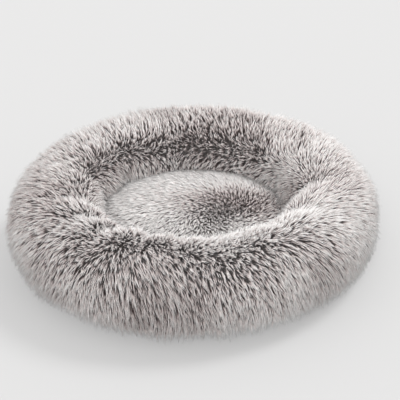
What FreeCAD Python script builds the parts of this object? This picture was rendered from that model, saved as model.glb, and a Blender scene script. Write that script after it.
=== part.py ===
import FreeCAD, Part
import os

import Sketcher
from FreeCAD import Placement, Rotation, Vector

# A round pet bed: a fur bolster ring sewn round a domed fur cushion, on a cloth base.
# Millimetres. +Z is up, the origin is on the floor under the middle of the bed, and
# -Y is the front. The zip that opens the ring for filling is at the back, in the
# upright border of the base, where the ring overhangs it.

DIMENSIONS = [
    ("ring_middle", 220.0, "radius of the circle that the bolster's tube is centred on"),
    ("tube_radius", 73.0, "radius of the bolster's tube, to the middle of the pile"),
    ("tube_height", 70.5, "height of the tube's centre above the floor"),
    ("fur_thick", 14.0, "backing cloth and half of the pile"),
    ("layer_gap", 0.4, "room between two layers of cloth"),
    ("liner_thick", 1.2, "inner casing cloth"),
    ("panels", 4, "gore panels round the bolster"),
    ("panel_gap", 0.2, "angle between two gore panels, in degrees"),
    ("overhang", 26.2, "height of the bolster's underside outside the border"),
    ("inner_seam", 68.0, "height at which the bolster's cover ends inside the well"),
    ("cushion_radius", 146.4, "edge of the cushion"),
    ("cushion_edge", 74.0, "height of the cushion's upper edge"),
    ("cushion_top", 88.0, "height of the cushion's crown"),
    ("divider_inner", 149.6, "inner radius of the divider band"),
    ("divider_thick", 1.2, "divider band cloth"),
    ("binding_thick", 3.2, "folded tape in the inner seam"),
    ("binding_outer", 161.0, "outer radius of the inner seam's tape"),
    ("dot_height", 2.0, "moulded grip dots under the base"),
    ("dot_radius", 4.0, "radius of a grip dot"),
    ("dot_rings", 6, "rings of dots round the middle dot"),
    ("dot_spacing", 35.0, "distance from one ring of dots to the next"),
    ("base_radius", 230.0, "outer radius of the base panel and its border"),
    ("base_thick", 2.0, "base cloth"),
    ("border_thick", 2.0, "border cloth"),
    ("border_top", 25.0, "height of the border's upper edge"),
    ("trim_thick", 0.6, "tape in the outer seam, and the care label"),
    ("zip_height", 14.5, "height of the middle of the zip"),
    ("zip_start", 15.0, "where the chain starts, in degrees round from +X"),
    ("zip_sweep", 150.0, "how far the chain runs, in degrees"),
    ("zip_margin", 2.0, "slot and tape past each end of the chain, in degrees"),
    ("slot_half", 6.5, "half the height of the zip's slot in the border"),
    ("tape_thick", 0.8, "zip tape"),
    ("tape_overlap", 2.6, "tape sewn over the border beside the slot"),
    ("chain_gap", 1.4, "room between the two rows of teeth, where the slider's post runs"),
    ("tooth_pitch", 1.0, "from one tooth to the next, in degrees"),
    ("tooth_width", 2.2, "a tooth along the tape"),
    ("tooth_height", 3.0, "a tooth across the tape"),
    ("tooth_depth", 1.7, "a tooth out from the tape"),
    ("slider_length", 14.0, "the slider along the zip"),
    ("slider_height", 10.4, "the slider across the zip"),
    ("slider_plate", 1.3, "thickness of the slider's two plates"),
    ("slider_flange", 0.9, "thickness of the slider's two flanges"),
    ("slider_post", 0.7, "thickness of the post that parts the teeth"),
    ("slider_room", 0.6, "room between the slider and the chain"),
    ("crown_width", 2.4, "the loop on the slider that holds the pull"),
    ("crown_span", 9.4, "the loop along the zip, outside its feet"),
    ("crown_thick", 1.1, "thickness of the loop"),
    ("pull_pin", 0.8, "radius of the pull's cross bar"),
    ("pull_arm", 1.4, "width and thickness of the pull's two arms"),
    ("pull_reach", 28.0, "the pull from its cross bar to its tip"),
    ("pull_width", 8.4, "the pull's plate across"),
    ("pull_neck", 6.2, "distance from the cross bar to the pull's plate"),
    ("pull_eye", 2.0, "radius of the hole in the pull's plate"),
    ("label_width", 26.0, "care label along the border"),
    ("label_height", 17.0, "care label, up and down"),
    ("label_angle", -42.0, "where the care label is, in degrees round from +X"),
]

doc = FreeCAD.newDocument("PetBed")
Bed = doc.addObject("Spreadsheet::Sheet", "Bed")
for row, (alias, value, note) in enumerate(DIMENSIONS, start=1):
    Bed.set("A%d" % row, note)
    Bed.set("B%d" % row, str(value))
    Bed.setAlias("B%d" % row, alias)
doc.recompute()

parts = []


def size(expression):
    """The number that an expression on the sheet's cells stands for."""
    value = Bed.evalExpression(str(expression))
    return float(getattr(value, "Value", value))


def new_body(label, turn="0"):
    """An empty sub-part, turned about the bed's axis by an angle in degrees."""
    body = doc.addObject("PartDesign::Body", label)
    body.Label = label
    body.Placement = Placement(Vector(0, 0, 0), Rotation(Vector(0, 0, 1), size(turn)))
    if turn != "0":
        body.setExpression("Placement.Rotation.Angle", "(%s) * 1 deg" % turn)
    parts.append(body)
    return body


def origin_item(body, role):
    """A plane or an axis of the body's own origin."""
    return next(item for item in body.Origin.OriginFeatures if item.Role == role)


def arc(middle_x, middle_y, radius, turn):
    """A round edge: its centre, its radius, and 1 for anticlockwise or -1 for clockwise."""
    return (middle_x, middle_y, radius, turn)


def draw(body, outline):
    """A closed sketch in the body's XZ plane: x is the radius from the bed's axis, y the height.

    Each corner is (x, y) or (x, y, arc), where the arc runs to the next corner.
    """
    sketch = body.newObject("Sketcher::SketchObject", body.Name + "_section")
    sketch.AttachmentSupport = [(origin_item(body, "XZ_Plane"), "")]
    sketch.MapMode = "FlatFace"
    corners = [Vector(size(c[0]), size(c[1]), 0) for c in outline]
    ends = []
    for number, corner in enumerate(outline):
        here, there = corners[number], corners[(number + 1) % len(corners)]
        if len(corner) == 2:
            sketch.addGeometry(Part.LineSegment(here, there))
            ends.append((1, 2))
            continue
        middle_x, middle_y, radius, turn = corner[2]
        middle = Vector(size(middle_x), size(middle_y), 0)
        first, last = (here, there) if turn > 0 else (there, here)
        angles = [Vector(1, 0, 0).getAngle(p - middle) * (1 if p.y >= middle.y else -1)
                  for p in (first, last)]
        circle = Part.Circle(middle, Vector(0, 0, 1), size(radius))
        sketch.addGeometry(Part.ArcOfCircle(circle, angles[0], angles[1]))
        ends.append((1, 2) if turn > 0 else (2, 1))
    for number, corner in enumerate(outline):
        after = (number + 1) % len(outline)
        sketch.addConstraint(Sketcher.Constraint(
            "Coincident", number, ends[number][1], after, ends[after][0]))
    for number, corner in enumerate(outline):
        for kind, axis, rule in (("DistanceX", -2, corner[0]), ("DistanceY", -1, corner[1])):
            where = (number, ends[number][0])
            if size(rule) == 0:
                sketch.addConstraint(Sketcher.Constraint("PointOnObject", *where, axis))
            else:
                made = sketch.addConstraint(
                    Sketcher.Constraint(kind, -1, 1, *where, size(rule)))
                sketch.setExpression("Constraints[%d]" % made, str(rule))
        if len(corner) == 3:
            made = sketch.addConstraint(
                Sketcher.Constraint("Radius", number, size(corner[2][2])))
            sketch.setExpression("Constraints[%d]" % made, corner[2][2])
    return sketch


def rectangle(low_x, high_x, low_y, high_y):
    return [(low_x, low_y), (high_x, low_y), (high_x, high_y), (low_x, high_y)]


def revolve(body, outline, degrees="360", feature="Revolution"):
    """Turn an outline about the bed's axis, from the body's own +X towards +Y."""
    turned = body.newObject("PartDesign::" + feature, body.Name + "_turned")
    turned.Profile = draw(body, outline)
    turned.ReferenceAxis = (origin_item(body, "Z_Axis"), [""])
    turned.Angle = size(degrees)
    if degrees != "360":
        turned.setExpression("Angle", degrees)
    return turned


def on_tube(shrink, height, side):
    """The radius at which a tube that is smaller by shrink passes through a height."""
    return ("Bed.ring_middle %s sqrt((Bed.tube_radius - (%s))^2 - (%s - Bed.tube_height)^2)"
            % (side, shrink, height))


def tube_arc(shrink, turn):
    """The bolster's round wall, smaller by shrink. It turns over the top of the tube."""
    return arc("Bed.ring_middle", "Bed.tube_height", "Bed.tube_radius - (%s)" % shrink, turn)


# The layers of the bolster, as how far each lies inside the cover's outer face.
COVER_IN = "Bed.fur_thick"
LINER_OUT = "Bed.fur_thick + Bed.layer_gap"
LINER_IN = "Bed.fur_thick + Bed.layer_gap + Bed.liner_thick"
FILL_OUT = "Bed.fur_thick + 2 * Bed.layer_gap + Bed.liner_thick"

# Heights and radii of the compartments inside.
FLOOR = "Bed.dot_height + Bed.base_thick"
CLOTH_LOW = FLOOR + " + Bed.layer_gap"
CLOTH_HIGH = CLOTH_LOW + " + Bed.liner_thick"
FILL_LOW = CLOTH_HIGH + " + Bed.layer_gap"
BORDER_IN = "Bed.base_radius - Bed.border_thick"
BINDING_LOW = "Bed.inner_seam - Bed.layer_gap - Bed.binding_thick"
DIVIDER_OUT = "Bed.divider_inner + Bed.divider_thick"
UNDER_BINDING = BINDING_LOW + " - Bed.layer_gap"
UNDERSIDE_TOP = "Bed.overhang + Bed.fur_thick"
ZERO = "0"


def make_bolster_cover():
    """The fur sleeve: a C-shaped wall, open below, in equal gore panels."""
    outline = [
        (on_tube(ZERO, "Bed.overhang", "+"), "Bed.overhang", tube_arc(ZERO, 1)),
        (on_tube(ZERO, "Bed.inner_seam", "-"), "Bed.inner_seam"),
        (on_tube(COVER_IN, "Bed.inner_seam", "-"), "Bed.inner_seam", tube_arc(COVER_IN, -1)),
        (on_tube(COVER_IN, UNDERSIDE_TOP, "+"), UNDERSIDE_TOP),
        (BORDER_IN, UNDERSIDE_TOP),
        (BORDER_IN, "Bed.overhang"),
    ]
    for number in range(int(size("Bed.panels"))):
        turn = "(%d + 0.5) * 360 / Bed.panels + Bed.panel_gap / 2" % number
        body = new_body("bolster_cover_panel_%d" % (number + 1), turn)
        revolve(body, outline, "360 / Bed.panels - Bed.panel_gap")


def make_bolster_inside():
    """The ring's inner casing in two sheets, and the fibre filling in it."""
    casing_end = UNDERSIDE_TOP + " + Bed.layer_gap"
    revolve(new_body("bolster_liner_top"), [
        (on_tube(LINER_OUT, casing_end, "+"), casing_end, tube_arc(LINER_OUT, 1)),
        (on_tube(LINER_OUT, UNDER_BINDING, "-"), UNDER_BINDING),
        (on_tube(LINER_IN, UNDER_BINDING, "-"), UNDER_BINDING, tube_arc(LINER_IN, -1)),
        (on_tube(LINER_IN, casing_end, "+"), casing_end),
    ])
    wall_inner = DIVIDER_OUT + " + Bed.layer_gap"
    wall_outer = BORDER_IN + " - Bed.layer_gap"
    revolve(new_body("bolster_liner_base"), [
        (wall_inner, CLOTH_LOW),
        (wall_outer, CLOTH_LOW),
        (wall_outer, UNDERSIDE_TOP),
        (wall_outer + " - Bed.liner_thick", UNDERSIDE_TOP),
        (wall_outer + " - Bed.liner_thick", CLOTH_HIGH),
        (wall_inner + " + Bed.liner_thick", CLOTH_HIGH),
        (wall_inner + " + Bed.liner_thick", UNDER_BINDING),
        (wall_inner, UNDER_BINDING),
    ])
    fill_inner = wall_inner + " + Bed.liner_thick + Bed.layer_gap"
    fill_outer = wall_outer + " - Bed.liner_thick - Bed.layer_gap"
    revolve(new_body("bolster_filling"), [
        (fill_inner, FILL_LOW),
        (fill_outer, FILL_LOW),
        (fill_outer, casing_end),
        (on_tube(FILL_OUT, casing_end, "+"), casing_end, tube_arc(FILL_OUT, 1)),
        (on_tube(FILL_OUT, UNDER_BINDING, "-"), UNDER_BINDING),
        (fill_inner, UNDER_BINDING),
    ])


def dome(drop):
    """The crown's arc through the cushion's edge, lowered by drop, from the edge to the axis."""
    rise = "(Bed.cushion_top - Bed.cushion_edge)"
    radius = "(Bed.cushion_radius^2 + %s^2) / (2 * %s)" % (rise, rise)
    return arc(ZERO, "Bed.cushion_top - (%s) - %s" % (drop, radius), radius, 1)


def make_cushion():
    """The cushion: a domed fur cover, its inner casing in two sheets, and its filling."""
    liner_drop = "Bed.fur_thick + Bed.layer_gap"
    fill_drop = liner_drop + " + Bed.liner_thick + Bed.layer_gap"
    revolve(new_body("cushion_cover"), [
        ("Bed.cushion_radius", "Bed.cushion_edge - Bed.fur_thick"),
        ("Bed.cushion_radius", "Bed.cushion_edge", dome(ZERO)),
        (ZERO, "Bed.cushion_top"),
        (ZERO, "Bed.cushion_top - Bed.fur_thick", dome_back("Bed.fur_thick")),
    ])
    revolve(new_body("cushion_liner_top"), [
        ("Bed.cushion_radius", "Bed.cushion_edge - (%s) - Bed.liner_thick" % liner_drop),
        ("Bed.cushion_radius", "Bed.cushion_edge - (%s)" % liner_drop, dome(liner_drop)),
        (ZERO, "Bed.cushion_top - (%s)" % liner_drop),
        (ZERO, "Bed.cushion_top - (%s) - Bed.liner_thick" % liner_drop,
         dome_back(liner_drop + " + Bed.liner_thick")),
    ])
    wall = "Bed.divider_inner - Bed.layer_gap"
    wall_top = "Bed.cushion_edge - (%s) - Bed.liner_thick" % liner_drop
    revolve(new_body("cushion_liner_base"), [
        (ZERO, CLOTH_LOW),
        (wall, CLOTH_LOW),
        (wall, wall_top),
        (wall + " - Bed.liner_thick", wall_top),
        (wall + " - Bed.liner_thick", CLOTH_HIGH),
        (ZERO, CLOTH_HIGH),
    ])
    revolve(new_body("cushion_filling"), [
        (ZERO, FILL_LOW),
        ("Bed.cushion_radius", FILL_LOW),
        ("Bed.cushion_radius", "Bed.cushion_edge - (%s)" % fill_drop, dome(fill_drop)),
        (ZERO, "Bed.cushion_top - (%s)" % fill_drop),
    ])


def dome_back(drop):
    """The same arc, run from the axis to the edge, for the underside of a domed sheet."""
    middle_x, middle_y, radius, _ = dome(drop)
    return arc(middle_x, middle_y, radius, -1)


def make_bands():
    """The divider between the two compartments, and the tapes in the two round seams."""
    revolve(new_body("divider_band"),
            rectangle("Bed.divider_inner", DIVIDER_OUT, CLOTH_LOW, UNDER_BINDING))
    revolve(new_body("inner_seam_binding"),
            rectangle("Bed.divider_inner", "Bed.binding_outer", BINDING_LOW,
                      "Bed.inner_seam - Bed.layer_gap"))
    seam_low = "Bed.border_top + Bed.layer_gap / 2"
    revolve(new_body("outer_seam_binding"),
            rectangle(BORDER_IN, "Bed.base_radius + Bed.trim_thick", seam_low,
                      seam_low + " + Bed.trim_thick"))


def make_base_panel():
    """The base cloth with its moulded grip dots, in rings round a middle dot."""
    body = new_body("base_panel")
    revolve(body, rectangle(ZERO, "Bed.base_radius", "Bed.dot_height", FLOOR))
    for ring in range(int(size("Bed.dot_rings")) + 1):
        dot = body.newObject("PartDesign::AdditiveCylinder", "dot_%d" % ring)
        dot.setExpression("Radius", "Bed.dot_radius")
        dot.setExpression("Height", "Bed.dot_height + Bed.base_thick / 2")
        dot.setExpression("Placement.Base.x", "%d * Bed.dot_spacing" % ring)
        if ring == 0:
            continue
        circle = body.newObject("PartDesign::PolarPattern", "dot_ring_%d" % ring)
        circle.Originals = [dot]
        circle.Axis = (origin_item(body, "Z_Axis"), [""])
        circle.Angle = 360
        circle.Occurrences = 6 * ring
        body.Tip = circle


def make_border():
    """The upright border of the base, with a slot at the back for the zip."""
    body = new_body("base_border", "Bed.zip_start - Bed.zip_margin")
    revolve(body, rectangle(BORDER_IN, "Bed.base_radius", CLOTH_LOW, "Bed.border_top"))
    revolve(body,
            rectangle(BORDER_IN + " - 1", "Bed.base_radius + 1",
                      "Bed.zip_height - Bed.slot_half", "Bed.zip_height + Bed.slot_half"),
            "Bed.zip_sweep + 2 * Bed.zip_margin", "Groove")


TAPE_IN = "Bed.base_radius + Bed.layer_gap"
TAPE_OUT = TAPE_IN + " + Bed.tape_thick"
TOOTH_OUT = TAPE_OUT + " + Bed.tooth_depth"
CHAIN_EDGE = "Bed.chain_gap / 2 + Bed.tooth_height"


def make_zip_tapes():
    """Two cloth tapes that bridge the slot, each sewn over the border along one edge."""
    width = "Bed.slot_half + Bed.tape_overlap"
    for name, near, far in (
            ("zip_tape_upper", "Bed.zip_height + Bed.chain_gap / 2", "Bed.zip_height + " + width),
            ("zip_tape_lower", "Bed.zip_height - (%s)" % width,
             "Bed.zip_height - Bed.chain_gap / 2")):
        body = new_body(name, "Bed.zip_start - Bed.zip_margin")
        revolve(body, rectangle(TAPE_IN, TAPE_OUT, near, far),
                "Bed.zip_sweep + 2 * Bed.zip_margin")


def block(radius, low_z, depth, width, height, degrees):
    """A small block on the border's circle, with its middle at an angle round from +X."""
    made = Part.makeBox(depth, width, height, Vector(radius, -width / 2, low_z))
    made.rotate(Vector(0, 0, 0), Vector(0, 0, 1), degrees)
    return made


def add_feature(label, shape):
    """A sub-part whose shape is worked out here from the sheet's sizes."""
    feature = doc.addObject("Part::Feature", label)
    feature.Label = label
    feature.Shape = shape
    feature.Placement = Placement()
    parts.append(feature)
    return feature


def make_zip_teeth():
    """Two rows of moulded teeth, half a pitch apart, on the outer face of the tapes."""
    count = int(size("Bed.zip_sweep / Bed.tooth_pitch"))
    half_gap = size("Bed.chain_gap / 2")
    for name, low_z, shift in (
            ("zip_teeth_upper", size("Bed.zip_height") + half_gap, 0.25),
            ("zip_teeth_lower", size("Bed.zip_height - (%s)" % CHAIN_EDGE), 0.75)):
        row = [block(size(TAPE_OUT), low_z, size("Bed.tooth_depth"), size("Bed.tooth_width"),
                     size("Bed.tooth_height"),
                     size("Bed.zip_start") + size("Bed.tooth_pitch") * (number + shift))
               for number in range(count)]
        add_feature(name, Part.makeCompound(row))


def make_zip_stops():
    """A clamp across both rows at each end of the chain."""
    half_stop = size("Bed.zip_margin") / 2
    height = 2 * size(CHAIN_EDGE)
    for name, degrees in (
            ("zip_start_stop", size("Bed.zip_start") - half_stop),
            ("zip_end_stop", size("Bed.zip_start + Bed.zip_sweep") + half_stop)):
        stop = block(size(TAPE_OUT), size("Bed.zip_height") - height / 2,
                     size("Bed.tooth_depth"), size("Bed.tooth_width"), height, degrees)
        edges = [edge for edge in stop.Edges if abs(edge.tangentAt(0).z) > 0.9]
        add_feature(name, stop.makeFillet(size("Bed.tooth_depth") / 4, edges))


def add_box(name, low, span):
    """A box whose low corner and side lengths are expressions, in X, Y, Z order."""
    box = doc.addObject("Part::Box", name)
    for side, rule in zip(("Length", "Width", "Height"), span):
        box.setExpression(side, rule)
    for axis, rule in zip("xyz", low):
        box.setExpression("Placement.Base." + axis, rule)
    return box


def join(label, pieces, turn):
    """One sub-part from touching pieces, turned about the bed's axis."""
    union = doc.addObject("Part::MultiFuse", label)
    union.Label = label
    union.Shapes = pieces
    union.Refine = True
    union.Placement = Placement(Vector(0, 0, 0), Rotation(Vector(0, 0, 1), size(turn)))
    union.setExpression("Placement.Rotation.Angle", "(%s) * 1 deg" % turn)
    parts.append(union)
    return union


# The slider stands with its middle here when the zip is closed.
SLIDER_AT = "Bed.zip_start + 2.2"
SLIDER_BACK = "Bed.base_radius - Bed.slider_plate - 0.2"
SLIDER_FRONT = TOOTH_OUT + " + Bed.slider_room"
CROWN_AT = SLIDER_FRONT + " + Bed.slider_plate"
PULL_AXIS = CROWN_AT + " + 1.7"


def make_slider():
    """The slider: two plates either side of the chain, a post between them, flanges, a crown."""
    low_z = "Bed.zip_height - Bed.slider_height / 2"
    half = "-Bed.slider_length / 2"
    inner = SLIDER_BACK + " + Bed.slider_plate"
    plates = [
        add_box("slider_back_plate", (SLIDER_BACK, half, low_z),
                ("Bed.slider_plate", "Bed.slider_length", "Bed.slider_height")),
        add_box("slider_front_plate", (SLIDER_FRONT, half, low_z),
                ("Bed.slider_plate", "Bed.slider_length", "Bed.slider_height")),
        add_box("slider_post", (inner, half, "Bed.zip_height - Bed.slider_post / 2"),
                (SLIDER_FRONT + " - (%s)" % inner, "Bed.slider_length * 0.35",
                 "Bed.slider_post")),
    ]
    flange_in = TAPE_OUT + " + Bed.layer_gap"
    for name, flange_z in (
            ("slider_flange_low", low_z),
            ("slider_flange_high",
             "Bed.zip_height + Bed.slider_height / 2 - Bed.slider_flange")):
        plates.append(add_box(name, (flange_in, half, flange_z),
                              (SLIDER_FRONT + " - (%s)" % flange_in, "Bed.slider_length",
                               "Bed.slider_flange")))
    crown_z = "Bed.zip_height - Bed.crown_width / 2"
    reach = "1.7 + Bed.pull_pin + 0.3 + Bed.crown_thick"
    for name, foot_y in (("crown_foot_left", "-Bed.crown_span / 2"),
                         ("crown_foot_right", "Bed.crown_span / 2 - Bed.crown_thick")):
        plates.append(add_box(name, (CROWN_AT, foot_y, crown_z),
                              (reach, "Bed.crown_thick", "Bed.crown_width")))
    plates.append(add_box(
        "crown_top", (PULL_AXIS + " + Bed.pull_pin + 0.3", "-Bed.crown_span / 2", crown_z),
        ("Bed.crown_thick", "Bed.crown_span", "Bed.crown_width")))
    join("zip_slider", plates, SLIDER_AT)


def make_pull():
    """The pull: a cross bar under the crown, two arms beside it, and a plate with an eye."""
    arm_z = "Bed.crown_width / 2 + 0.5"
    bar = doc.addObject("Part::Cylinder", "pull_bar")
    bar.setExpression("Radius", "Bed.pull_pin")
    bar.setExpression("Height", "2 * (%s + Bed.pull_arm)" % arm_z)
    bar.setExpression("Placement.Base.x", PULL_AXIS)
    bar.setExpression("Placement.Base.z", "Bed.zip_height - (%s) - Bed.pull_arm" % arm_z)
    pieces = [bar]
    thick_low = PULL_AXIS + " - Bed.pull_arm / 2"
    for name, low_z in (("pull_arm_low", "Bed.zip_height - (%s) - Bed.pull_arm" % arm_z),
                        ("pull_arm_high", "Bed.zip_height + " + arm_z)):
        pieces.append(add_box(name, (thick_low, ZERO, low_z),
                              ("Bed.pull_arm", "Bed.pull_neck + 1", "Bed.pull_arm")))
    plate = add_box("pull_plate",
                    (thick_low, "Bed.pull_neck", "Bed.zip_height - Bed.pull_width / 2"),
                    ("Bed.pull_arm", "Bed.pull_reach - Bed.pull_neck", "Bed.pull_width"))
    eye = doc.addObject("Part::Cylinder", "pull_eye_hole")
    eye.setExpression("Radius", "Bed.pull_eye")
    eye.Height = 6
    eye.Placement.Rotation = Rotation(Vector(0, 1, 0), 90)
    eye.setExpression("Placement.Base.x", thick_low + " - 2")
    eye.setExpression("Placement.Base.y", "Bed.pull_reach - 2 * Bed.pull_eye")
    eye.setExpression("Placement.Base.z", "Bed.zip_height")
    pierced = doc.addObject("Part::Cut", "pull_plate_pierced")
    pierced.Base = plate
    pierced.Tool = eye
    pieces.append(pierced)
    join("zip_pull_tab", pieces, SLIDER_AT)


def make_label():
    """A blank care label, caught in the outer seam."""
    label = add_box("care_label", (ZERO, ZERO, ZERO),
                    ("Bed.trim_thick", "Bed.label_width", "Bed.label_height"))
    degrees = size("Bed.label_angle")
    turn = Rotation(Vector(0, 0, 1), degrees)
    corner = Vector(size("Bed.base_radius + 1"), -size("Bed.label_width") / 2,
                    size("Bed.border_top - Bed.label_height"))
    for axis in "xyz":
        label.setExpression("Placement.Base." + axis, None)
    label.Placement = Placement(turn.multVec(corner), turn)
    parts.append(label)


make_bolster_cover()
make_bolster_inside()
make_cushion()
make_bands()
make_base_panel()
make_border()
make_zip_tapes()
make_zip_teeth()
make_zip_stops()
make_slider()
make_pull()
make_label()
doc.recompute()

for thing in doc.Objects:
    if "Invalid" in thing.State or "Error" in thing.State:
        raise RuntimeError("%s failed: %s" % (thing.Label, thing.State))
for part in parts:
    if part.Shape.isNull() or not part.Shape.isValid():
        raise RuntimeError("%s has no valid shape" % part.Label)

os.makedirs("parts", exist_ok=True)
for part in parts:
    part.Shape.exportStep("parts/%s.step" % part.Label)
    bounds = part.Shape.optimalBoundingBox(False, False)
    print("%-24s %3d solids %12.1f mm3  x %.1f..%.1f  y %.1f..%.1f  z %.1f..%.1f" % (
        part.Label, len(part.Shape.Solids), part.Shape.Volume, bounds.XMin, bounds.XMax,
        bounds.YMin, bounds.YMax, bounds.ZMin, bounds.ZMax))
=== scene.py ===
# %% [markdown]
# # A round fur pet bed
# The bed is a fat ring of long-pile fur cloth stuffed with fibre, sewn round a domed cushion of
# the same cloth. Under the ring is a cloth base with an upright border, and a zip in the back
# of the border lets the filling out. Almost all that anyone sees is pile, so most of this
# lesson is about fur: how to shape the cloth it grows from, how to lay it, and how to colour it.

# %% The frame
import math
from types import SimpleNamespace

import bmesh
import bpy
import numpy as np
from mathutils import Matrix, Vector


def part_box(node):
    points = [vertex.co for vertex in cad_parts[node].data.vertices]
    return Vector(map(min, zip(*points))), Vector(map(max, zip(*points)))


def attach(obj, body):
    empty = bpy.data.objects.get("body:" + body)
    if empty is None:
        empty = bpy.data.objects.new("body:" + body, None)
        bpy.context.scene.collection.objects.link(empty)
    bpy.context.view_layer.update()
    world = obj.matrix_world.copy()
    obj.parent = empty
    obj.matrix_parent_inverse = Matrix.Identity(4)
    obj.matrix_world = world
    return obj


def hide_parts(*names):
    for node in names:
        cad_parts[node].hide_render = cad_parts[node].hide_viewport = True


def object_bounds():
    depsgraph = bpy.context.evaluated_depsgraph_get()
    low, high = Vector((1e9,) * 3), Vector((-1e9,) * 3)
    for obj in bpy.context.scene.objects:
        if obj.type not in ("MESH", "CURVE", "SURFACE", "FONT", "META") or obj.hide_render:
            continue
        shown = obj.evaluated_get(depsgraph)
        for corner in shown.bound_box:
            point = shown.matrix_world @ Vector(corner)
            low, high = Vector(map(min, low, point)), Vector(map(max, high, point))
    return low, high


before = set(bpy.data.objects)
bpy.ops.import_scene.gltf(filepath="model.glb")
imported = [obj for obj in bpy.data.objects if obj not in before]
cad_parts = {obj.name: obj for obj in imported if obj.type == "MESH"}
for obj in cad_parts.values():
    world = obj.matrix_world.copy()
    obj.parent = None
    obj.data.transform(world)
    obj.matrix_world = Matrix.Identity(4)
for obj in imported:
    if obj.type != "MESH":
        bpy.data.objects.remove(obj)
cad_low, cad_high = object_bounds()
scene = bpy.context.scene

# %% [markdown]
# ## Sizes
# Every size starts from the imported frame, so the looks cannot drift away from the design. The
# fur panels of the frame are solid to the middle of the pile. The cloth that the pile grows
# from lies a little deeper, and the free ends of the pile stand a little higher.

# %% Sizes taken from the frame
ring_outer = cad_high.x
ring_top = cad_high.z
cushion_low, cushion_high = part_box("cushion_cover")
border_low, border_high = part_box("base_border")
well_radius = cushion_high.x
cushion_top = cushion_high.z
cushion_edge = cushion_low.z + 0.014
seam_height = cushion_low.z + 0.008
border_radius = border_high.x
border_top = border_high.z
ring_middle = (ring_outer + well_radius) / 2
tube_radius = (ring_outer - well_radius) / 2
tube_height = ring_top - tube_radius
CLOTH_DEPTH = 0.009  # from the middle of the pile down to the backing cloth
cloth_radius = tube_radius - CLOTH_DEPTH
print("ring middle %.3f, tube radius %.3f, tube height %.3f" % (
    ring_middle, tube_radius, tube_height))

# %% [markdown]
# ## Two small tools for node trees
# A shader or a Geometry Nodes tree is easier to read as sums than as boxes and wires. `Wire`
# wraps a socket, so that `1 - mask` adds the Math node. `Tree` adds any other node from its
# type, its settings and the values of its sockets.


# %% Wire and Tree
def is_vector(value):
    """Whether a value is a vector: three numbers, or a wire that carries them."""
    return isinstance(value, tuple) or (
        isinstance(value, Wire) and value.socket.type == "VECTOR")


class Wire:
    """A socket that can stand in a Python expression."""

    def __init__(self, tree, socket):
        self.tree = tree
        self.socket = socket

    def maths(self, operation, one, other):
        vectors = [value for value in (one, other) if is_vector(value)]
        if operation == "MULTIPLY" and len(vectors) == 1:
            scale = other if is_vector(one) else one
            return self.tree.add("ShaderNodeVectorMath", {0: vectors[0], "Scale": scale},
                                 operation="SCALE")
        kind = "ShaderNodeVectorMath" if vectors else "ShaderNodeMath"
        return self.tree.add(kind, {0: one, 1: other}, operation=operation)

    def __add__(self, other):
        return self.maths("ADD", self, other)

    def __sub__(self, other):
        return self.maths("SUBTRACT", self, other)

    def __rsub__(self, other):
        return self.maths("SUBTRACT", other, self)

    def __mul__(self, other):
        return self.maths("MULTIPLY", self, other)

    def __pow__(self, other):
        return self.maths("POWER", self, other)

    __radd__ = __add__
    __rmul__ = __mul__


class Tree:
    """Adds nodes to a shader or a Geometry Nodes tree."""

    def __init__(self, nodes):
        self.nodes = nodes

    def add(self, kind, sockets=None, out=0, **settings):
        node = self.nodes.nodes.new(kind)
        for name, value in settings.items():
            setattr(node, name, value)
        for name, value in (sockets or {}).items():
            self.fill(node, name, value)
        outputs = [s for s in node.outputs if s.enabled]
        found = node.outputs[out] if isinstance(out, str) else outputs[out]
        return Wire(self, found)

    def fill(self, node, name, value):
        if isinstance(name, int):
            socket = node.inputs[name]
        else:
            socket = next(s for s in node.inputs if s.name == name and s.enabled)
        if isinstance(value, Wire):
            self.nodes.links.new(value.socket, socket)
        else:
            socket.default_value = value

    def vector(self, x=0.0, y=0.0, z=0.0):
        return self.add("ShaderNodeCombineXYZ", {0: x, 1: y, 2: z})

    def parts(self, vector):
        """The x, y and z of a vector."""
        node = self.add("ShaderNodeSeparateXYZ", {0: vector}).socket.node
        return [Wire(self, socket) for socket in node.outputs[:3]]

    def number(self, operation, *values):
        return self.add("ShaderNodeMath", dict(enumerate(values)), operation=operation)

    def smooth(self, value, low, high):
        """0 below low, 1 above high, and a smooth step between them."""
        return self.add("ShaderNodeMapRange", {
            "Value": value, "From Min": low, "From Max": high, "To Min": 0.0, "To Max": 1.0,
        }, interpolation_type="SMOOTHSTEP")

    def mix(self, factor, one, two):
        """A colour between two others."""
        return self.add("ShaderNodeMix", {"Factor": factor, "A": one, "B": two},
                        data_type="RGBA")

    def noise(self, where, scale, detail=2.0):
        """Soft noise between about 0.2 and 0.8."""
        return self.add("ShaderNodeTexNoise",
                        {"Vector": where, "Scale": scale, "Detail": detail}, noise_dimensions="3D")


class Finish(Tree):
    """A Principled material with its constant sockets set, and the tree to go on with."""

    def __init__(self, name, **constants):
        self.material = bpy.data.materials.new(name)
        self.material.use_nodes = True
        super().__init__(self.material.node_tree)
        self.shader = self.nodes.nodes["Principled BSDF"]
        for socket, value in constants.items():
            self.fill(self.shader, socket.replace("_", " "), value)

    def join(self, colour, height=None, depth=0.0003, rough=None, strength=0.7):
        """Joins up the sockets that change over the surface, and returns the material."""
        self.fill(self.shader, "Base Color", colour)
        if rough is not None:
            self.fill(self.shader, "Roughness", rough)
        if height is not None:
            self.fill(self.shader, "Normal", self.add("ShaderNodeBump", {
                "Strength": strength, "Distance": depth, "Height": height}))
        return self.material


# %% [markdown]
# ## Small tools for pieces
# Every modelled piece ends the same way: its modifiers are worked into a plain mesh, it gets
# one material, and it is fixed to the bed in the place of the frame's plain solid.


# %% Placing, dressing and thickening
def placed(name, data):
    """A new object in the scene that shows this mesh, curve, lamp or camera."""
    made = bpy.data.objects.new(name, data)
    scene.collection.objects.link(made)
    return made


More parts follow.
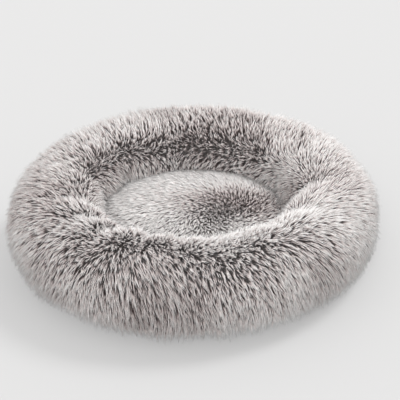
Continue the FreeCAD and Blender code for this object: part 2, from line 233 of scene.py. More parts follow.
def worked_mesh(piece):
    """A plain mesh of a piece, as its modifiers make it."""
    graph = bpy.context.evaluated_depsgraph_get()
    return bpy.data.meshes.new_from_object(
        piece.evaluated_get(graph), preserve_all_data_layers=True, depsgraph=graph)


def thicken(piece, wall):
    """Gives a cloth its thickness, inwards, and applies it."""
    solid = piece.modifiers.new("Thickness", "SOLIDIFY")
    solid.thickness = wall
    solid.offset = -1.0
    thick = worked_mesh(piece)
    piece.modifiers.remove(solid)
    piece.data = thick


def dress(piece, material):
    """Gives a piece one material and smooth shading."""
    piece.data.materials.clear()
    piece.data.materials.append(material)
    piece.data.shade_smooth()


def sew_in(piece, slot, *stands_for):
    """Fixes a piece to the bed in the place of CAD nodes. The slot is not used."""
    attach(piece, "bed")
    if stands_for:
        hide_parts(*stands_for)


# %% [markdown]
# ## The ring's cloth
# The sleeve is one tube of cloth bent into a ring, open underneath where it is sewn to the
# border outside and to the cushion inside. A grid of points is enough: one way round the bed,
# the other way over the tube. The inner edge is shorter than the cloth it gathers, so the
# cloth tucks into creases there, deepest at the front left.

# %% The ring's grid
ROUND = 288
OVER = 60
INNER_SEAM_ANGLE = math.pi - math.asin((seam_height - tube_height) / tube_radius)
OUTER_LOW_ANGLE = math.radians(-36.0)
SEAM_ROWS = 9
arc_rows = OVER - SEAM_ROWS
SEAM_R, SEAM_Z = border_radius + 0.002, border_top + 0.0012

# Tucks in the ring: where round the bed, how wide, how deep (metres), in degrees from +X.
TUCKS = [
    (-128.0, 3.6, 0.017), (-112.0, 3.0, 0.014), (-97.0, 3.0, 0.008), (-143.0, 4.0, 0.012),
    (-163.0, 4.5, 0.008), (-52.0, 4.0, 0.005), (-33.0, 4.5, 0.014), (-8.0, 5.0, 0.011),
    (24.0, 6.0, 0.005), (58.0, 7.0, 0.004), (101.0, 7.0, 0.005), (137.0, 6.0, 0.006),
    (166.0, 5.0, 0.005),
]


def tuck_depth(turn):
    """How far the cloth is drawn in by the tucks, at angles round the bed."""
    depth = np.zeros_like(turn)
    for middle, width, deep in TUCKS:
        away = (np.degrees(turn) - middle + 180.0) % 360.0 - 180.0
        depth += deep * np.exp(-((away / width) ** 2))
    return depth


def full_turn(count):
    """Angles all the way round the bed, as a column."""
    return np.linspace(0.0, math.tau, count, endpoint=False)[:, None]


def ring_points():
    """Points of the ring's cloth, as an array of turns by rows."""
    turn = full_turn(ROUND)
    angle = np.linspace(INNER_SEAM_ANGLE, OUTER_LOW_ANGLE, arc_rows)[None, :]
    uneven = 1 + 0.018 * np.sin(2 * turn + 0.6) + 0.014 * np.sin(3 * turn + 2.1)
    uneven = uneven + 0.012 * np.sin(5 * turn + 4.0 + np.sin(angle))
    uneven = uneven + 0.010 * np.sin(9 * turn + 1.3 + 2.0 * angle)
    inward = np.clip(np.sin((angle - math.radians(40.0)) * 0.62), 0, 1) ** 1.5
    to_seam = np.exp(-(((angle - INNER_SEAM_ANGLE) / math.radians(9.0)) ** 2))
    radius = cloth_radius * uneven - tuck_depth(turn) * inward + 0.8 * CLOTH_DEPTH * to_seam
    across = ring_middle + radius * np.cos(angle)
    height = tube_height + radius * np.sin(angle)
    last_r, last_z = across[:, -1:], height[:, -1:]
    bend_r, bend_z = last_r - 0.020, last_z - 0.008
    step = np.linspace(0, 1, SEAM_ROWS + 1)[None, 1:]
    first, middle, last = (1 - step) ** 2, 2 * step * (1 - step), step ** 2
    across = np.concatenate(
        [across, first * last_r + middle * bend_r + last * SEAM_R], axis=1)
    height = np.concatenate(
        [height, first * last_z + middle * bend_z + last * SEAM_Z], axis=1)
    height = np.maximum(height, SEAM_Z)
    return np.stack([across * np.cos(turn), across * np.sin(turn), height], axis=2)


def grid_mesh(name, points, closed_pole=None):
    """A mesh of quads from turns by rows of points, closed round the bed."""
    turns, rows = points.shape[:2]
    verts = points.reshape(-1, 3).tolist()
    faces = []
    for i in range(turns):
        after = (i + 1) % turns
        for j in range(rows - 1):
            faces.append((i * rows + j, i * rows + j + 1, after * rows + j + 1,
                          after * rows + j))
    if closed_pole is not None:
        pole = len(verts)
        verts.append(tuple(closed_pole))
        faces += [(i * rows, ((i + 1) % turns) * rows, pole) for i in range(turns)]
    mesh = bpy.data.meshes.new(name)
    mesh.from_pydata(verts, [], faces)
    mesh.validate()
    face_out(mesh)
    return placed(name, mesh)


def face_out(mesh):
    """Turns every face outwards."""
    cells = bmesh.new()
    cells.from_mesh(mesh)
    bmesh.ops.recalc_face_normals(cells, faces=cells.faces[:])
    cells.to_mesh(mesh)
    cells.free()


def places(mesh):
    """The vertices of a mesh as an array."""
    flat = np.empty(len(mesh.vertices) * 3, dtype=np.float32)
    mesh.vertices.foreach_get("co", flat)
    return flat.reshape(-1, 3).astype(float)


def set_places(mesh, points):
    mesh.vertices.foreach_set("co", points.astype(np.float32).ravel())
    mesh.update()


ring_rest = ring_points()
ring_cloth = grid_mesh("bolster_cloth", ring_rest)
print("ring cloth:", len(ring_cloth.data.polygons), "faces")

# %% [markdown]
# ## The cushion's cloth
# The cushion is a shallow dome whose edge turns down into the seam. Rings of points that grow
# from a pole make it, with a sag on one side where an animal has lain.

# %% The cushion's grid
CUSHION_TURNS = 160
CUSHION_RINGS = 34
EDGE_ROLL = 0.005
CROWN_DROP = 0.005
HOLLOW_X, HOLLOW_Y, HOLLOW_SIZE, HOLLOW_DEPTH = 0.078, 0.012, 0.055, 0.006


def cushion_height(x, y):
    """Height of the cushion's cloth, with its edge rolled down into the seam."""
    reach = np.hypot(x, y) / well_radius
    crown = cushion_top - CROWN_DROP - (cushion_top - cushion_edge) * reach ** 2
    roll = EDGE_ROLL * np.clip((reach - 0.86) / 0.14, 0, 1) ** 2
    hollow = HOLLOW_DEPTH * np.exp(
        -((x - HOLLOW_X) ** 2 + (y - HOLLOW_Y) ** 2) / HOLLOW_SIZE ** 2)
    billow = 0.0025 * np.sin(23.0 * x + 1.0) * np.cos(27.0 * y + 0.5)
    return crown - roll - hollow + billow * (1 - reach ** 4)


def disc_cloth(name, turns, rings, radius, height_of):
    """A round of cloth, from rings of points about a pole."""
    turn = full_turn(turns)
    reach = np.linspace(1.0 / rings, 1.0, rings)[None, :] * radius
    x, y = reach * np.cos(turn), reach * np.sin(turn)
    pole = (0.0, 0.0, float(height_of(np.zeros(1), np.zeros(1))[0]))
    return grid_mesh(name, np.stack([x, y, height_of(x, y)], axis=2), pole)


cushion_cloth = disc_cloth("cushion_cloth", CUSHION_TURNS, CUSHION_RINGS, well_radius,
                           cushion_height)
print("cushion cloth:", len(cushion_cloth.data.polygons), "faces")

# %% [markdown]
# ## Stuffing them
# Filling pushes on the cloth evenly from inside, and the seams hold its edges. That is what
# Blender's Cloth does with pressure, so both pieces are inflated for twenty frames with their
# seams pinned. No point may travel far, because the grids already have the stuffed shape.

# %% Inflating the cloth
FRAMES = 20
MOST_TRAVEL = 0.006


def stuff(piece, pinned, pressure):
    """Runs Cloth on a piece with its seam points pinned, and keeps the result in its mesh."""
    start = places(piece.data)
    held = piece.vertex_groups.new(name="seams")
    held.add(pinned, 1.0, "REPLACE")
    cloth = piece.modifiers.new("Cloth", "CLOTH")
    cloth.settings.quality = 6
    cloth.settings.mass = 0.25
    cloth.settings.tension_stiffness = 18
    cloth.settings.compression_stiffness = 6
    cloth.settings.bending_stiffness = 0.4
    cloth.settings.use_pressure = True
    cloth.settings.uniform_pressure_force = pressure
    cloth.settings.vertex_group_mass = "seams"
    cloth.settings.effector_weights.gravity = 0.0
    cloth.point_cache.frame_start, cloth.point_cache.frame_end = 1, FRAMES
    for number in range(1, FRAMES + 1):
        scene.frame_set(number)
    graph = bpy.context.evaluated_depsgraph_get()
    moved = places(piece.evaluated_get(graph).to_mesh())
    piece.evaluated_get(graph).to_mesh_clear()
    piece.modifiers.remove(cloth)
    piece.vertex_groups.remove(held)
    scene.frame_set(1)
    travel = moved - start
    length = np.linalg.norm(travel, axis=1, keepdims=True)
    travel *= np.minimum(1.0, MOST_TRAVEL / np.maximum(length, 1e-9))
    set_places(piece.data, start + travel)
    print(piece.name, "stuffed, greatest travel %.1f mm" % (1000 * min(length.max(), MOST_TRAVEL)))


ring_rows = ring_rest.shape[1]
stuff(ring_cloth, [i * ring_rows + j for i in range(ROUND) for j in (0, 1, ring_rows - 1)],
      2.0)
stuff(cushion_cloth, [i * CUSHION_RINGS + j for i in range(CUSHION_TURNS)
                      for j in (CUSHION_RINGS - 1, CUSHION_RINGS - 2)], 1.0)

# %% [markdown]
# ## Combing directions
# Pile lies the way it was last stroked. On the ring it parts along a wandering line well inside
# the top: outside the line it runs over the ring and down to the floor, inside it runs down
# into the well.
# On the cushion it runs away from the hollow in a slow swirl. Each point of the cloth stores
# its combing direction as a vector, which the fur tree reads further down. Longer vectors mean
# flatter pile.

# %% Combing directions
PARTING_FRONT, PARTING_BACK = math.radians(136.0), math.radians(150.0)
PARTING_WIDTH = math.radians(30.0)
WANDER, SHORT_WANDER = math.radians(17.0), math.radians(7.0)
UNDERSIDE = math.radians(-100.0)
SEAM_RUN = -1.6  # radians; below this angle the cloth runs in to the outer seam


def unit(vectors):
    return vectors / np.maximum(np.linalg.norm(vectors, axis=-1, keepdims=True), 1e-9)


def waves(points, seed, scale):
    """Smooth noise between -1 and 1 from a few crossed waves."""
    dice = np.random.default_rng(seed)
    total = np.zeros(points.shape[:-1])
    for _ in range(9):
        direction = unit(dice.normal(size=3)) * scale * dice.uniform(0.6, 1.6)
        total += np.sin(points @ direction + dice.uniform(0, 2 * math.pi))
    return total / 4.5


def store(mesh, name, kind, values):
    layer = mesh.attributes.new(name, kind, "POINT")
    field = "vector" if kind == "FLOAT_VECTOR" else "value"
    layer.data.foreach_set(field, np.asarray(values, dtype=np.float32).ravel())


def rise(value, low, high):
    """0 at the low angle and below, 1 at the high one and above; both in degrees."""
    low, high = math.radians(low), math.radians(high)
    return np.clip((value - low) / (high - low), 0, 1)


def how_far_back(points):
    """0 at the front of the ring and 1 at its back."""
    return np.clip(0.5 + points[..., 1] / ring_middle * 0.7, 0, 1)


def comb_ring():
    """The ring's points, their angles over the tube, and their combing directions."""
    points = places(ring_cloth.data).reshape(ROUND, ring_rows, 3)
    outwards = unit(np.gradient(points, axis=1))
    turn = full_turn(ROUND)
    spoke = np.stack([np.cos(turn), np.sin(turn), np.zeros_like(turn)], axis=2)
    from_middle = points - spoke * ring_middle
    angle = np.arctan2(from_middle[..., 2] - tube_height, (from_middle * spoke).sum(-1))
    wander = WANDER * waves(points, 3, 20.0) + SHORT_WANDER * waves(points, 4, 70.0)
    parting = PARTING_FRONT + (PARTING_BACK - PARTING_FRONT) * how_far_back(points)
    side = np.clip((parting + wander - angle) / PARTING_WIDTH, -1, 1)
    side = np.where(angle < UNDERSIDE, -1.0, side)
    sideways = np.cross(np.broadcast_to([0.0, 0.0, 1.0], points.shape), spoke)
    swirl = 0.20 + 0.40 * waves(points, 11, 15.0) + 0.32 * waves(points, 12, 55.0)
    low = rise(-angle, -5.0, 30.0) * (angle > SEAM_RUN)
    comb = (outwards * side[..., None] + sideways * swirl[..., None]
            + spoke * (low * 0.40)[..., None])
    flat = 0.66 + 0.30 * waves(points, 13, 45.0) + 0.35 * rise(-angle, -50.0, 0.0)
    return points, angle, comb * flat[..., None]


def comb_cushion():
    """The cushion's points and their combing directions, away from its hollow."""
    points = places(cushion_cloth.data)
    away = points - np.array([HOLLOW_X, HOLLOW_Y, 0.0])
    away[:, 2] = 0
    distance = np.linalg.norm(away, axis=1, keepdims=True)
    outwards = away / np.maximum(distance, 1e-6)
    swirl = np.stack([-outwards[:, 1], outwards[:, 0], np.zeros(len(points))], axis=1)
    comb = outwards + swirl * (0.55 + 0.5 * waves(points, 21, 30.0))[:, None]
    flat = np.clip(distance / 0.080, 0.10, 1.6)
    return points, unit(comb) * flat


ring_places, ring_angle, ring_comb = comb_ring()
cushion_places, cushion_comb = comb_cushion()

# %% [markdown]
# ## Length, frost and painted light
# The tips are paler than the rest, so pile that lies flat looks frosted and pile that stands
# up or parts looks dark. `frost_and_painted_light` says how pale the pile is at each point, with
# painted light and painted shade added to the frost, `pile` how long it is, shorter in the seams
# and in the well, and `wispy` how strongly it draws together into wisps. The right side was
# smoothed by hand, so it is less wispy there. The front lip is palest, from painted light, and
# the left of the well is darkest, from painted shade.

# %% Zones of the ring
def bell(value, middle, width):
    """1 where an angle is at the middle, and less on both sides; both in degrees."""
    return np.exp(-((value - math.radians(middle)) / math.radians(width)) ** 2)


ring_turn = np.arctan2(ring_places[..., 1], ring_places[..., 0])
behind = how_far_back(ring_places)
patches = waves(ring_places, 31, 26.0)
fine = waves(ring_places, 32, 75.0)

# Over the tube: the lip at the front, where light is painted on; the painted shade under the
# back's lip; the crown; the well side.
lip = bell(ring_angle, 106.0, 21.0) * (1 - behind)
shade = bell(ring_angle, 142.0, 20.0) * behind
crown = bell(ring_angle, 80.0, 35.0)
inside = rise(ring_angle, 100.0, 128.0)
# Round the bed.
left_back = bell(ring_turn, 126.0, 34.0)
left = bell(np.abs(ring_turn), 180.0, 40.0)
right = bell(ring_turn, 8.0, 42.0)
right_front = bell(ring_turn, -25.0, 35.0)
smooth_side = bell(ring_turn, -12.0, 42.0)

# %% Frost, painted light and length on the ring
SEAM_PILE, WELL_PILE = 0.45, 0.86

# Painted light: paler on the front lip, on the crown at the right front and on the well side at
# the right. Painted shade: darker under the back's lip, most at the left back, and on the crown at
# the left. The patches and the fine waves are the pile's own uneven tone.
ring_frost_and_painted_light = (0.53 + 0.18 * lip - shade * (0.14 + 0.30 * left_back)
              + crown * (0.07 * right_front - 0.10 * left) + 0.16 * right * inside
              + 0.17 * patches + 0.12 * fine)
row = np.arange(ring_rows)[None, :] * np.ones((ROUND, 1))
from_seam = np.minimum(row / 4.0, (ring_rows - 1 - row) / 3.0)
low_front = rise(-ring_angle, 0.0, 30.0) * (1 - behind) * (ring_angle > SEAM_RUN)
ring_length = np.clip(SEAM_PILE + (1 - SEAM_PILE) * from_seam, SEAM_PILE, 1.0)
ring_length = ring_length * (1.0 + 0.10 * fine) * (1.0 - 0.14 * smooth_side)
ring_length = ring_length * (1.0 - 0.04 * low_front)
ring_length = ring_length * np.where(ring_angle > math.radians(100.0), WELL_PILE, 1.0)
store(ring_cloth.data, "comb", "FLOAT_VECTOR", ring_comb)
store(ring_cloth.data, "frost_and_painted_light", "FLOAT", ring_frost_and_painted_light)
store(ring_cloth.data, "pile", "FLOAT", ring_length)
store(ring_cloth.data, "wispy", "FLOAT", 1.0 - 0.60 * smooth_side)
print("frost on the ring: %.2f to %.2f" % (ring_frost_and_painted_light.min(), ring_frost_and_painted_light.max()))

# %% Frost, painted shade and length on the cushion
CUSHION_PILE = 0.78
DARK_X, DARK_LONG, DARK_WIDE = HOLLOW_X - 0.012, 0.090, 0.052

x, y = cushion_places[:, 0], cushion_places[:, 1]
# The dark patch over the hollow, on the right of the cushion, is painted shade; the same patch
# makes the pile more wispy there.
dark = np.exp(-((x - DARK_X) / DARK_LONG) ** 2 - ((y - HOLLOW_Y) / DARK_WIDE) ** 2)
cushion_frost_and_painted_shade = 1.10 - 1.14 * dark + 0.12 * waves(cushion_places, 41, 45.0)
store(cushion_cloth.data, "comb", "FLOAT_VECTOR", cushion_comb)
store(cushion_cloth.data, "frost_and_painted_light", "FLOAT", cushion_frost_and_painted_shade)
store(cushion_cloth.data, "pile", "FLOAT", np.full(len(x), CUSHION_PILE))
store(cushion_cloth.data, "wispy", "FLOAT", 0.55 + 0.45 * dark)

# %% [markdown]
# ## The pile
# Long-pile fur is a felt of fine fibres that hang together in pointed locks, so one lock is
# modelled, and Geometry Nodes plant it all over the cloth. A lock is a three-sided cone of a
# few rings, which keeps it closed and cheap. The tree scatters points, leans each lock along
# the combing direction, pulls the tips of neighbours together into wisps, and then bends the
# planted locks so that their ends lie down.

# %% Helpers for Geometry Nodes
SCRATCH_LAYERS = {"growth", "lay", "pull", "reach", "tone", "along",
                  "comb", "frost_and_painted_light", "pile", "wispy"}


def start_tree(name, inputs):
    """A Geometry Nodes group with geometry in and out and named number inputs."""
    group = bpy.data.node_groups.new(name, "GeometryNodeTree")
    group.interface.new_socket("Geometry", in_out="INPUT", socket_type="NodeSocketGeometry")
    group.interface.new_socket("Geometry", in_out="OUTPUT", socket_type="NodeSocketGeometry")
    for label, value in inputs.items():
        kind = "NodeSocketInt" if isinstance(value, int) else "NodeSocketFloat"
        socket = group.interface.new_socket(label, in_out="INPUT", socket_type=kind)
        socket.default_value = value
    tree = Tree(group)
    entry = group.nodes.new("NodeGroupInput")
    return group, tree, {s.name: Wire(tree, s) for s in entry.outputs if s.name}


def end_tree(group, tree, geometry, material):
    geometry = tree.add("GeometryNodeSetShadeSmooth", {"Geometry": geometry})
    geometry = tree.add("GeometryNodeRealizeInstances", {"Geometry": geometry})
    geometry = tree.add("GeometryNodeSetMaterial", {"Geometry": geometry, "Material": material})
    leave = group.nodes.new("NodeGroupOutput")
    group.links.new(geometry.socket, leave.inputs[0])
    return group


def drop_scratch(mesh):
    """Removes the layers that only the trees read."""
    for name in [layer.name for layer in mesh.attributes if layer.name in SCRATCH_LAYERS]:
        mesh.attributes.remove(mesh.attributes[name])


def grow(holder, group, name, slot, **sizes):
    """Runs a tree on a holder and keeps its result as a plain mesh, fixed to the bed."""
    grower = holder.modifiers.new("Tree", "NODES")
    grower.node_group = group
    for item in group.interface.items_tree:
        if item.in_out == "INPUT" and item.name in sizes:
            grower[item.identifier] = sizes[item.name]
    mesh = worked_mesh(holder)
    bpy.data.objects.remove(holder)
    mesh.name = name
    drop_scratch(mesh)
    sew_in(placed(name, mesh), slot)
    print(name, sum(len(p.vertices) - 2 for p in mesh.polygons), "triangles")


# %% The fur tree
FUR_INPUTS = {
    "Spacing": 0.0015,
    "Length": 0.021,
    "Thickness": 0.0008,
    "Lift": 0.95,
    "Bend": 0.45,
    "Droop": 0.10,
    "Stray": 0.16,
    "Wisp spacing": 0.0031,
    "Wisp pull": 0.95,
    "Wisp stray": 0.44,
    "Floor": 0.0008,
    "Ceiling": 0.1570,
    "Zip room": 0.0215,
    "Seed": 1,
}
# Where the pile is held up to leave room for the zip: distance from the axis, and y, each from
# no room to all of it or back.
ZIP_REACH, ZIP_SIDE = (0.266, 0.281), (-0.015, 0.020)


def fur_tree(material):
    """The Geometry Nodes group that grows pile on a cloth with comb, pile and frost, the frost
    with painted light and shade in it.
    """
    group, tree, given = start_tree("fur pile", FUR_INPUTS)

    def named(name, kind="FLOAT"):
        return tree.add("GeometryNodeInputNamedAttribute", {"Name": name}, data_type=kind)

    def keep(geometry, name, value, kind="FLOAT", domain="POINT"):
        return tree.add("GeometryNodeStoreNamedAttribute",
                        {"Geometry": geometry, "Name": name, "Value": value},
                        data_type=kind, domain=domain)

    def dice(kind, low, high, seed, number=None):
        sockets = {"Min": low, "Max": high, "Seed": seed}
        if number is not None:
            sockets["ID"] = number
        return tree.add("FunctionNodeRandomValue", sockets, data_type=kind)

    def scattered(spacing, seed):
        return tree.add("GeometryNodeDistributePointsOnFaces", {
            "Mesh": given["Geometry"], "Distance Min": spacing, "Density Max": 400000.0,
            "Seed": seed}, distribute_method="POISSON").socket.node

    roots = scattered(given["Spacing"], given["Seed"])
    wisps = scattered(given["Wisp spacing"], given["Seed"] + 7)
    points = Wire(tree, roots.outputs["Points"])
    normal = Wire(tree, roots.outputs["Normal"])
    here = tree.add("GeometryNodeInputPosition")
    comb = named("comb", "FLOAT_VECTOR")
    # The pull of the nearest wisp, worked out from the wisps' own roots.
    wisp_points = Wire(tree, wisps.outputs["Points"])
    nearest = tree.add("GeometryNodeSampleNearest",
                       {"Geometry": wisp_points, "Sample Position": here})
    wisp_at = tree.add("GeometryNodeSampleIndex",
                       {"Geometry": wisp_points, "Value": here, "Index": nearest},
                       data_type="FLOAT_VECTOR")
    wispy = named("wispy")
    pull = (wisp_at - here) * (given["Wisp pull"] * wispy)
    corner_low, corner_high = (-1.0, -1.0, -1.0), (1.0, 1.0, 1.0)
    stray = dice("FLOAT_VECTOR", corner_low, corner_high, 3) * given["Stray"]
    wisp_stray = dice("FLOAT_VECTOR", corner_low, corner_high, 4, nearest)
    wisp_stray = wisp_stray * (given["Wisp stray"] * wispy)
    growth = tree.add("ShaderNodeVectorMath",
                      {0: comb + normal * given["Lift"] + stray + wisp_stray},
                      operation="NORMALIZE")
    length = named("pile") * given["Length"] * dice("FLOAT", 0.80, 1.10, 5)
    length = length * dice("FLOAT", 0.78, 1.12, 6, nearest)
    wisp_tone = dice("FLOAT", 0.0, 1.0, 8, nearest)

    points = keep(points, "growth", growth, "FLOAT_VECTOR")
    points = keep(points, "lay", comb, "FLOAT_VECTOR")
    points = keep(points, "pull", pull, "FLOAT_VECTOR")
    points = keep(points, "reach", length)
    # The tone is the frost, with its painted light and shade, plus a random part for each lock and
    # each wisp.
    tone = named("frost_and_painted_light") + (dice("FLOAT", 0.0, 1.0, 9) - 0.5) * 0.50
    tone = tone + (wisp_tone - 0.5) * wispy * 0.46
    points = keep(points, "tone", tone)

    cone = tree.add("GeometryNodeMeshCone", {
        "Vertices": 3, "Side Segments": 2, "Radius Top": 0.0, "Radius Bottom": 1.0,
        "Depth": 1.0}, fill_type="NGON")
    cone = keep(cone, "along", tree.add("ShaderNodeSeparateXYZ", {0: here}, out="Z"))
    along = named("along")
    swell = 1.0 + along * (1.0 - along) * 1.9
    cone = tree.add("GeometryNodeSetPosition", {
        "Geometry": cone, "Position": here * tree.vector(swell, swell, 1.0)})
    turned = tree.add("FunctionNodeAlignRotationToVector", {"Vector": growth}, axis="Z")
    spun = tree.add("FunctionNodeRotateRotation", {
        "Rotation": turned, "Rotate By": tree.add("FunctionNodeEulerToRotation", {
            0: tree.vector(z=dice("FLOAT", 0.0, 6.28, 13))})}, rotation_space="LOCAL")
    thick = given["Thickness"] * dice("FLOAT", 0.7, 1.25, 15)
    locks = tree.add("GeometryNodeInstanceOnPoints", {
        "Points": points, "Instance": cone, "Rotation": spun,
        "Scale": tree.vector(thick, thick, length)})
    locks = tree.add("GeometryNodeRealizeInstances", {"Geometry": locks})

    late = along * along
    lay = named("lay", "FLOAT_VECTOR")
    reach = named("reach")
    bent = lay * (late * reach * given["Bend"])
    fallen = tree.vector(z=late * reach * given["Droop"] * -1.0)
    drawn = named("pull", "FLOAT_VECTOR") * late
    locks = tree.add("GeometryNodeSetPosition",
                     {"Geometry": locks, "Offset": bent + fallen + drawn})
    x, y, z = tree.parts(here)
    from_axis = (x * x + y * y) ** 0.5
    over_zip = (1.0 - tree.smooth(from_axis, *ZIP_REACH)) * tree.smooth(y, *ZIP_SIDE)
    lowest = given["Floor"] + along * 0.002 + over_zip * given["Zip room"]
    held = tree.number("MINIMUM", tree.number("MAXIMUM", z, lowest), given["Ceiling"])
    locks = tree.add("GeometryNodeSetPosition",
                     {"Geometry": locks, "Position": tree.vector(x, y, held)})

    tone = tree.add("ShaderNodeClamp", {"Value": named("tone"), "Min": 0.03, "Max": 0.94})
    corner = tree.number("MODULO", tree.add("GeometryNodeInputIndex"), 3.0)
    bake_map = tree.vector(along * 0.96 + 0.02, tone + corner * 0.015)
    locks = keep(locks, "OFBake", bake_map, "FLOAT2", "CORNER")
    return end_tree(group, tree, locks, material)


# %% [markdown]
# ## The fur's colours
# Each fibre is dark brown-grey at its root, taupe in the middle and silver at its tip. The
# map that the tree wrote runs root to tip one way and dark to frosted the other, with painted
# light and painted shade laid into that second way, so two smooth steps along it are the
# whole pattern.

# %% The fur's material
ROOT = (0.031, 0.012, 0.010, 1.0)
SHAFT = (0.56, 0.482, 0.466, 1.0)
TIP = (0.80, 0.790, 0.780, 1.0)


def fur_material(name):
    tree = Finish(name, Roughness=0.62, Sheen_Weight=0.25, Sheen_Roughness=0.5,
                  Specular_IOR_Level=0.25)
    # The map's second way is the frost, with the painted light and shade of the ring and the
    # cushion in it.
    along, frost_and_painted_light = tree.parts(tree.add("ShaderNodeUVMap", uv_map="OFBake"))[:2]
    out_of_root = tree.smooth(along, 0.51 - frost_and_painted_light * 0.38, 0.83 - frost_and_painted_light * 0.44)
    into_tip = tree.smooth(along, 0.72 - frost_and_painted_light * 0.52, 1.16 - frost_and_painted_light * 0.44)
    colour = tree.mix(out_of_root, ROOT, SHAFT)
    return tree.join(tree.mix(into_tip, colour, TIP))


pile_finish = fur_material("frosted long pile")
fur = fur_tree(pile_finish)
print("fur tree:", len(fur.nodes), "nodes")

# %% [markdown]
# ## Planting the pile
# The ring's cloth is cut into sectors before planting, which keeps each piece of pile to a
# size that a modeller can still turn round on screen.

# %% Planting
SECTORS = 8


def sector_of(cloth, number, count):
    """A copy of the cloth with only the faces of one sector."""
    cells = bmesh.new()
    cells.from_mesh(cloth.data)
    span = 2 * math.pi / count

    def inside(face):
        middle = face.calc_center_median()
        return int((math.atan2(middle.y, middle.x) % (2 * math.pi)) / span) == number

    gone = [face for face in cells.faces if not inside(face)]
    bmesh.ops.delete(cells, geom=gone, context="FACES")
    mesh = bpy.data.meshes.new("sector")
    cells.to_mesh(mesh)
    cells.free()
    return placed("sector", mesh)


for number in range(SECTORS):
    grow(sector_of(ring_cloth, number, SECTORS), fur, "bolster_pile_%d" % (number + 1),
         "fur_bolster", Seed=10 + number)
for number in range(2):
    grow(sector_of(cushion_cloth, number, 2), fur, "cushion_pile_%d" % (number + 1),
         "fur_cushion", Seed=40 + number, **{"Length": 0.016, "Wisp spacing": 0.0026})

# %% [markdown]
# ## The backing cloth
# Under the pile is a knitted backing of the same dark brown-grey as the roots. It only shows
# as shadow between the locks, so a plain rib with a little bump is enough. The cloth gets its
# thickness now, inwards, so that the roots stay on its face.

# %% The backing cloth


def backing_material():
    tree = Finish("knitted backing", Roughness=0.9)
    rib = tree.noise(tree.add("ShaderNodeTexCoord", out="Object"), 900.0, 1.0)
    colour = tree.mix(rib, (0.035, 0.029, 0.027, 1.0), (0.085, 0.072, 0.068, 1.0))
    return tree.join(colour, rib, 0.0006, strength=0.4)


backing = backing_material()
for cloth in (ring_cloth, cushion_cloth):
    drop_scratch(cloth.data)
    thicken(cloth, 0.0016)
    dress(cloth, backing)
sew_in(ring_cloth, "fur_bolster", *["bolster_cover_panel_%d" % n for n in (1, 2, 3, 4)])
sew_in(cushion_cloth, "fur_cushion", "cushion_cover")

# %% [markdown]
# ## Woven cloth, tape and lining
# Everything below the ring is plain sewn cloth. A plain weave is two sets of rounded threads
# that take turns on top, so its height is worked out from two sine waves, and the same height
# shades the colour and drives the bump. On the upright border and the tapes the threads run
# round the bed, so one direction is measured as an angle times a radius.


# %% Patterns that follow the bed
def coordinates(tree):
    """Where the surface is: its x, y and z, its distance round the border, and all at once."""
    where = tree.add("ShaderNodeTexCoord", out="Object")
    x, y, z = tree.parts(where)
    round_bed = tree.number("ARCTAN2", y, x) * border_radius
    return SimpleNamespace(x=x, y=y, z=z, round_bed=round_bed, where=where)


def ridge(tree, across, pitch):
    """A wave from -1 to 1 that repeats at twice the pitch."""
    return tree.number("SINE", across * (math.pi / pitch))


def absolute(tree, value):
    return tree.number("ABSOLUTE", value)


def weave(tree, one, other, pitch):
    """Height of a plain weave, 0 in its holes and 1 on top of a thread."""
    warp, weft = ridge(tree, one, pitch), ridge(tree, other, pitch)
    on_top = tree.smooth(warp * weft, -0.2, 0.2)
    return on_top * absolute(tree, warp) + (1.0 - on_top) * absolute(tree, weft)


# %% Cloth for the base, with rubber dots below it
CLOTH_DARK, CLOTH_PALE = (0.095, 0.082, 0.078, 1.0), (0.235, 0.208, 0.198, 1.0)


def base_cloth_material(name, wrapped):
    tree = Finish(name, Roughness=0.82, Sheen_Weight=0.15)
    at = coordinates(tree)
    height = weave(tree, at.round_bed if wrapped else at.x, at.z if wrapped else at.y, 0.0009)
    slub = tree.noise(at.where, 140.0, 3.0)
    scuff = tree.smooth(tree.noise(at.where, 22.0, 4.0), 0.52, 0.75)
    colour = tree.mix(height * 0.7 + slub * 0.4, CLOTH_DARK, CLOTH_PALE)
    colour = tree.mix(scuff * 0.22, colour, (0.36, 0.33, 0.32, 1.0))
    return tree.join(colour, height + slub * 0.5, 0.00035,
                           0.74 + slub * 0.2)


def rubber_material():
    tree = Finish("moulded rubber", Roughness=0.6)
    where = coordinates(tree).where
    grain = tree.noise(where, 1400.0, 2.0)
    dust = tree.smooth(tree.noise(where, 60.0, 3.0), 0.45, 0.75)
    colour = tree.mix(dust * 0.35, (0.045, 0.042, 0.041, 1.0), (0.15, 0.14, 0.135, 1.0))
    return tree.join(colour, grain, 0.0001, 0.50 + dust * 0.3)


# %% Tapes
def tape_material(name, dark, pale, slope):
    """Ribbed tape. With a slope its ribs lean one way below the middle and the other above."""
    tree = Finish(name, Roughness=0.75, Sheen_Weight=0.2)
    at = coordinates(tree)
    lean = absolute(tree, at.z - ZIP_HEIGHT) * slope
    rib = absolute(tree, ridge(tree, at.round_bed + lean, 0.0008))
    across = absolute(tree, ridge(tree, at.z, 0.0005))
    height = rib * 0.75 + across * 0.25
    colour = tree.mix(height * 0.8 + tree.noise(at.where, 90.0) * 0.3, dark, pale)
    return tree.join(colour, height, 0.00025)


slider_low, slider_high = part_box("zip_slider")
ZIP_HEIGHT = (slider_low.z + slider_high.z) / 2
binding_tape = tape_material("ribbed binding", (0.10, 0.086, 0.08, 1.0),
                             (0.25, 0.22, 0.21, 1.0), 0.0)
zip_cloth = tape_material("herringbone zip tape", (0.13, 0.115, 0.11, 1.0),
                          (0.31, 0.28, 0.268, 1.0), 1.0)
print("zip at %.1f mm" % (1000 * ZIP_HEIGHT))


